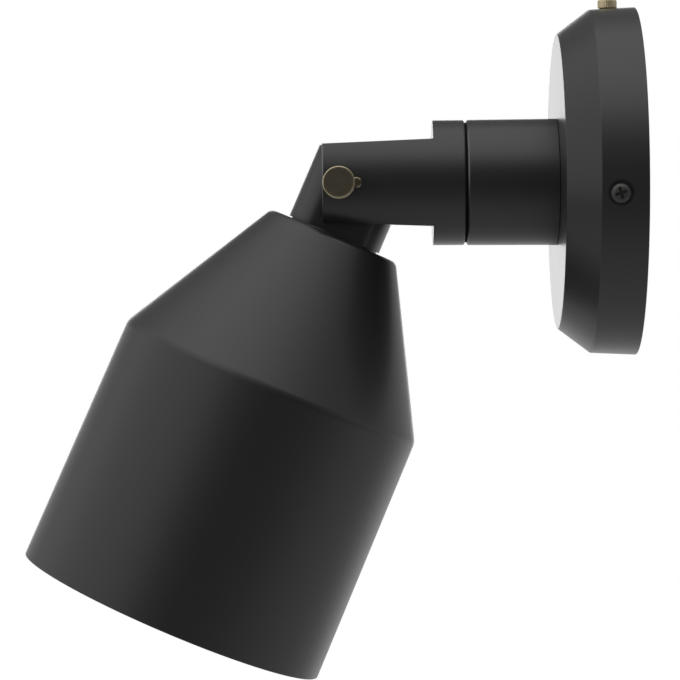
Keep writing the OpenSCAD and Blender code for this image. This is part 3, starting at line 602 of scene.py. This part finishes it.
# The tilt thumbscrew: a knurled brass disc on a screw through the ear beside the pivot. Turned
# in, its tip holds the head at the chosen angle.
lock_r, lock_in, lock_thick, lock_dish = 5.95, yoke_r + 2.1, 3.4, 0.12
lock_collar, lock_end = lock_in - 1.2, lock_in + lock_thick
lock = knurled("tilt_thumbscrew_brass", lock_r, [
    (1.6, 14.3), (2.0, 14.7), (2.0, lock_collar), (3.2, lock_collar, 0.2), (3.2, lock_in),
    (5.2, lock_in), (5.6, lock_in + 0.2), (lock_r, lock_in + 0.5), (lock_r, lock_end - 0.35),
    (5.8, lock_end - 0.1), (5.6, lock_end, 0.1), (5.3, lock_end, 0.1),
    (5.1, lock_end - lock_dish, 0.1), (0.6, lock_end - lock_dish)], 60, 0.14)
mount(lock, FROM_WALL @ at(0, 0, lock_out) @ ALONG_X)
polished(lock, 25)
finish(lock, antique_brass("antique_brass_lock", centre=(0, -lock_out * MM, 0),
                           across=(0, 1, 1), worn_from=5.2, worn_to=5.7))
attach(lock, "tilt_thumbscrew")
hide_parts("tilt_thumbscrew")


# The neck: a round cast knuckle that is flat where it fits between the ears. The leads come in
# through a slot in its top and back, and the shade is clamped under it.
head_axis = Vector(joint("bulb_turn")["axis"])
AT_PIVOT = Matrix.Translation(pivot) @ Matrix.Rotation(atan2(-head_axis.y, head_axis.z), 4, "X")
neck_r, neck_top, neck_foot = 17.8, -7.8, 20.3
lead_hole_r, nipple_r, nipple_top = 4.0, 5.06, 10.3
neck = turned("neck_knuckle", [
    (lead_hole_r, neck_top), (neck_r, neck_top), (neck_r, neck_foot), (nipple_r, neck_foot),
    (nipple_r, nipple_top), (lead_hole_r, nipple_top), (lead_hole_r, neck_top)], joined=True)
# Its two sides are pressed flat, column by column, so that their long edges are soft
neck_flat, soft = neck_across / 2, 1.4
columns = {round(abs(corner.co.x) / MM, 3) for corner in neck.data.vertices}
for reach in sorted(columns):
    if reach > neck_flat - soft:
        pressed = neck_flat
        if reach < neck_flat + soft:
            pressed = reach - (reach - neck_flat + soft) ** 2 / (4 * soft)
        shape(neck, lambda place: abs(abs(place.x) - reach * MM) < TOUCH,
              bpy.ops.transform.resize, value=(pressed / reach, 1, 1), center_override=(0, 0, 0))
slot_across, slot_front, slot_foot, slot_over = 10.0, 5.0, 6.0, 1.0
cut(neck, block("wire_slot_tool",
                (slot_across, slot_front + neck_r + slot_over, slot_foot - neck_top + slot_over),
                (0, (slot_front - neck_r - slot_over) / 2,
                 (slot_foot + neck_top - slot_over) / 2)))
drill = turned("pivot_drill_tool", [(1.92, -30.0), (1.92, 30.0)], FINE)
mount(drill, ALONG_X)
cut(neck, drill)
eased(neck, 0.5, 3, 50)
mount(neck, AT_PIVOT)
polished(neck)
finish(neck, satin_black)
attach(neck, "head")
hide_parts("neck")


# The shade: spun steel, 1.5 mm thick, a cone and then a barrel that opens a little towards its
# plain rim. It is coated like the rest, and a threaded nipple and a nut clamp it to the neck.
shade_wall, shade_top = 1.5, neck_foot + 0.5
shade_line = [(5.3, shade_top), (24.8, shade_top), (57.1, shade_top + 57.9),
              (58.2, shade_top + 151.4)]
shade = turned("shade_spinning",
               with_rounds(shade_line, (0.0, 3.2, 6.0, 0.45))
               + with_rounds(inner_line(shade_line, shade_wall), (0.0, 1.7, 4.5, 0.45))[::-1]
               + [shade_line[0]], sides=320, joined=True)
mount(shade, AT_PIVOT)
polished(shade)
finish(shade, satin_black)
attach(shade, "head")
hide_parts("shade")


# The lampholder: a glazed porcelain body with a nickel screw shell in its well, held by two
# screws to a strap in the top of the shade.
def thread(radius, start, end, pitch=3.63, height=0.55, steps=8):
    """The outline of a rolled screw thread between two heights, in millimetres."""
    count = round((end - start) / pitch * steps)
    return [(radius + height * (1 - cos(2 * pi * i / steps)) / 2, start + (end - start) * i / count)
            for i in range(count + 1)]


def plated(name, dark, light, rough, grain):
    """Bright plated or bare metal with faint clouds and a fine grain, in millimetres."""
    recipe = Recipe(name)
    cloud = recipe.noise(6.0, 4.0)
    return recipe.surface(
        {"Base Color": recipe.blend(cloud, dark, light), "Metallic": 1.0,
         "Roughness": rough + 0.14 * cloud},
        bump=recipe.noise(grain, 3.0), depth=0.01, strength=0.5)


holder_back, holder_front, holder_foot_r, holder_r = 29.2, 67.2, 19.5, 18.0
well_r, shell_back = 14.5, 40.7
holder = turned("lampholder_porcelain", [
    (10.0, 36.7), (10.0, holder_back, 0.5), (holder_foot_r, holder_back, 1.2),
    (holder_foot_r, 43.2, 0.8), (holder_r, 44.7, 0.8), (holder_r, holder_front, 1.2),
    (well_r, holder_front, 0.7), (well_r, shell_back)])
mount(holder, AT_PIVOT)
polished(holder)
recipe = Recipe("glazed_porcelain")
tint = recipe.noise(18.0, 3.0)
finish(holder, recipe.surface(
    {"Base Color": recipe.blend(tint, (0.80, 0.78, 0.73), (0.86, 0.84, 0.80)),
     "Roughness": 0.12 + 0.1 * recipe.noise(4.0, 3.0), "Coat Weight": 0.4, "Coat Roughness": 0.05},
    bump=recipe.noise(2.5, 2.0), depth=0.04, strength=0.4))
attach(holder, "head")
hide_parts("holder_body")

shell_r, shell_wall, shell_hole_r = 13.5, 0.4, 10.0
thread_from, thread_to = shell_back + 1.5, holder_front - 1.5
shell = turned("lampholder_shell",
               [(shell_hole_r, shell_back), (shell_hole_r, shell_back + shell_wall),
                (shell_r, shell_back + shell_wall)]
               + thread(shell_r, thread_from, thread_to)
               + thread(shell_r + shell_wall, thread_from, thread_to)[::-1]
               + [(shell_r + shell_wall, shell_back), (shell_hole_r, shell_back)],
               FINE, joined=True)
mount(shell, AT_PIVOT)
polished(shell, 60)
nickel = plated("nickel", (0.60, 0.58, 0.54), (0.72, 0.70, 0.66), 0.14, 0.4)
finish(shell, nickel)
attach(shell, "head")
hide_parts("holder_shell")


# The bulb: a reflector bulb, silvered inside its sides, with a frosted lens and a 26 mm screw
# cap. It turns in the lampholder.
cap_back, cap_front, bulb_face = 46.95, 66.95, 127.95
cap = turned("bulb_screw_cap",
             [(9.0, cap_back), (11.6, cap_back + 0.2, 0.3)]
             + thread(12.45, cap_back + 1.0, cap_front - 0.2)
             + [(11.85, cap_front), (11.85, cap_back + 1.6), (9.0, cap_back + 0.6),
                (9.0, cap_back)], FINE, joined=True)
mount(cap, AT_PIVOT)
polished(cap, 60)
finish(cap, nickel)
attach(cap, "bulb")
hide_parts("bulb_cap")

stalk_r, bulb_neck_r, bulb_r = 11.75, 15.0, 31.5
glass = turned("bulb_envelope", [
    (stalk_r, 57.7), (stalk_r, 66.6, 0.5), (bulb_neck_r, 67.9, 1.2), (bulb_neck_r, 80.2, 14.0),
    (bulb_r, 113.2, 9.0), (bulb_r, 119.3, 2.6), (22.5, 124.6, 14.0), (11.0, 127.4, 12.0),
    (2.0, bulb_face)])
mount(glass, AT_PIVOT)
polished(glass, 60)
recipe = Recipe("bulb_glass")
from_pivot = recipe.place(pivot)
lens = recipe.between(117.3 * MM, 118.3 * MM, recipe.dot(from_pivot, head_axis))
frost = recipe.node("TexVoronoi", {"Vector": from_pivot, "Scale": 1 / (1.3 * MM)},
                    {"feature": "SMOOTH_F1"})
cloud = recipe.noise(9.0, 3.0)
silver = recipe.blend(cloud, (0.62, 0.62, 0.62), (0.74, 0.74, 0.73))
finish(glass, recipe.surface(
    {"Base Color": recipe.blend(lens, silver, (0.84, 0.84, 0.82)),
     "Metallic": 1 - lens, "Roughness": 0.16 + 0.05 * cloud + 0.14 * lens,
     "Coat Weight": 0.6, "Coat Roughness": 0.04},
    bump=frost * lens, depth=0.12, strength=0.5))
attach(glass, "bulb")
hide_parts("bulb_glass")


# The insulator of the bulb and the small pieces of the mounting, the wiring, the swivel and the
# clamp. They are hidden in use, so they keep the solids' own shapes.
def moulded(name, dark, light, rough, coat=0.0):
    """Plain moulded or extruded plastic, or enamel, with a faint unevenness."""
    recipe = Recipe(name)
    cloud = recipe.noise(5.0, 3.0)
    return recipe.surface(
        {"Base Color": recipe.blend(cloud, dark, light), "Roughness": rough + 0.1 * cloud,
         "Coat Weight": coat},
        bump=recipe.noise(0.6, 2.0), depth=0.02, strength=0.4)


for material, nodes in (
        (moulded("black_glass", (0.012, 0.012, 0.012), (0.02, 0.02, 0.02), 0.1, 0.5),
         ["bulb_contact"]),
        (moulded("nylon", (0.66, 0.66, 0.60), (0.74, 0.74, 0.69), 0.35),
         ["terminal_block", "swivel_bushing"]),
        (moulded("green_paint", (0.02, 0.16, 0.05), (0.035, 0.22, 0.08), 0.3),
         ["ground_screw"]),
        (moulded("green_lead", (0.018, 0.17, 0.05), (0.03, 0.21, 0.07), 0.4),
         ["ground_lead"]),
        (moulded("black_lead", (0.014, 0.014, 0.014), (0.022, 0.022, 0.022), 0.42),
         ["live_lead_wall", "live_lead_head", "lead_sleeve"]),
        (moulded("white_lead", (0.62, 0.61, 0.57), (0.70, 0.69, 0.66), 0.4),
         ["neutral_lead_wall", "neutral_lead_head"]),
        (plated("zinc", (0.52, 0.53, 0.54), (0.66, 0.67, 0.68), 0.28, 0.3),
         ["mounting_bracket", "ground_lug", "arm_screws", "swivel_washer", "swivel_stem",
          "swivel_nut", "neck_nipple", "shade_nut", "holder_strap", "holder_screws"]),
        (plated("steel", (0.44, 0.44, 0.45), (0.56, 0.56, 0.58), 0.24, 0.2),
         ["terminal_screws", "swivel_spring", "stop_pin", "pivot_washers",
          "shade_lock_washer"]),
        (satin_black, ["neck_washer"]),
        (antique_brass("antique_brass_hidden", centre=(0, 0, 0), across=(1, 1, 1),
                       worn_from=1.0, worn_to=2.0),
         ["holder_terminals", "holder_contact"])):
    for node in nodes:
        finish(frame["nodes"][node], material)


# The floor, the surroundings and the lamps: a pale studio with soft light from above, from the
# left and a little from the right, and a dark side behind the camera.
def seen_by_eye(recipe):
    """1 for what the camera looks at straight."""
    return recipe.node("LightPath", output="Is Camera Ray")


def seen_in_gloss(recipe):
    """1 for what shows in metal and gloss, or through glass."""
    return (recipe.node("LightPath", output="Is Glossy Ray")
            + recipe.node("LightPath", output="Is Transmission Ray"))


clear_bench()
bpy.ops.mesh.primitive_plane_add(size=8.0, location=(0, 0, -0.55))
floor = bpy.context.object
floor.name = "studio_floor"
recipe = Recipe("studio_floor")
# Its paint is darker before the light, so that the light's underside reflects less there. It
# glows white to the camera, and in gloss most of all where it is far behind the light.
ahead = recipe.part(recipe.place(), "X")
paint = recipe.node("BsdfDiffuse", {"Color": recipe.blend(
    recipe.between(0.0, 1.6, ahead), (0.56, 0.56, 0.56), (0.10, 0.10, 0.10))})
glow = recipe.node("Emission", {"Color": (1.0, 1.0, 1.0, 1.0), "Strength": 1.12})
glowing = 0.88 * seen_by_eye(recipe)
glowing = glowing + seen_in_gloss(recipe) * (0.1 + 0.36 * recipe.between(0.35, 1.1, 0 - ahead))
recipe.node("OutputMaterial",
            {"Surface": recipe.node("MixShader", {0: glowing, 1: paint, 2: glow})})
finish(floor, recipe.material)

world = bpy.data.worlds.new("studio")
bpy.context.scene.world = world
recipe = Recipe("studio", world)
direction = recipe.node("TexCoord", output="Generated")
towards = recipe.part(direction, "X")
sideways = recipe.part(direction, "Y")
upwards = recipe.part(direction, "Z")
away = 0 - towards
# Pale walls stand round the light, and the left one has a soft lamp. Above them it is dim, up to
# a broad white softbox overhead, and a white panel stands right behind the light.
dim = recipe.between(0.06, 0.30, upwards) * recipe.between(0.35, 0.80, away)
around = 0.49 - 0.03 * sideways - 0.32 * dim
left_lamp = recipe.dot(direction, (0.20, -0.90, 0.38))
around = around + 0.26 * recipe.between(0.45, 0.95, left_lamp)
overhead = recipe.between(0.55, 0.95, 0.26 * towards + 0.97 * upwards)
around = around + overhead * (0.84 - 0.30 * recipe.between(-0.20, 0.15, away))
around = around + (2.5 - around) * recipe.between(0.95, 0.99, away)
# The side behind the camera is dark, most of all a little to the right of it
around = around * (1 - 0.92 * recipe.between(0.48, 1.05, 0.94 * towards + 0.34 * sideways))
eye_share, gloss_share = seen_by_eye(recipe), seen_in_gloss(recipe)
strength = eye_share + gloss_share * around
strength = strength + (1 - eye_share - gloss_share) * 0.45
recipe.node("OutputWorld", {"Surface": recipe.node(
    "Background", {"Color": (1.0, 1.0, 1.0, 1.0), "Strength": strength})})

for name, place, size, power in (
        ("softbox_top", (0.25, -0.10, 1.25), (1.2, 1.0), 9.0),
        ("softbox_left", (0.55, -1.35, 0.35), (0.9, 1.2), 8.0),
        ("softbox_right", (0.45, 1.25, 0.05), (0.6, 1.2), 3.0)):
    lamp = bpy.data.lights.new(name, "AREA")
    lamp.shape, lamp.energy = "RECTANGLE", power
    lamp.size, lamp.size_y = size
    stand = bpy.data.objects.new(name, lamp)
    stand.visible_glossy = False
    bpy.context.scene.collection.objects.link(stand)
    stand.location = place
    stand.rotation_euler = (aim - Vector(place)).to_track_quat("-Z", "Y").to_euler()

bpy.context.scene.view_settings.view_transform = "Standard"
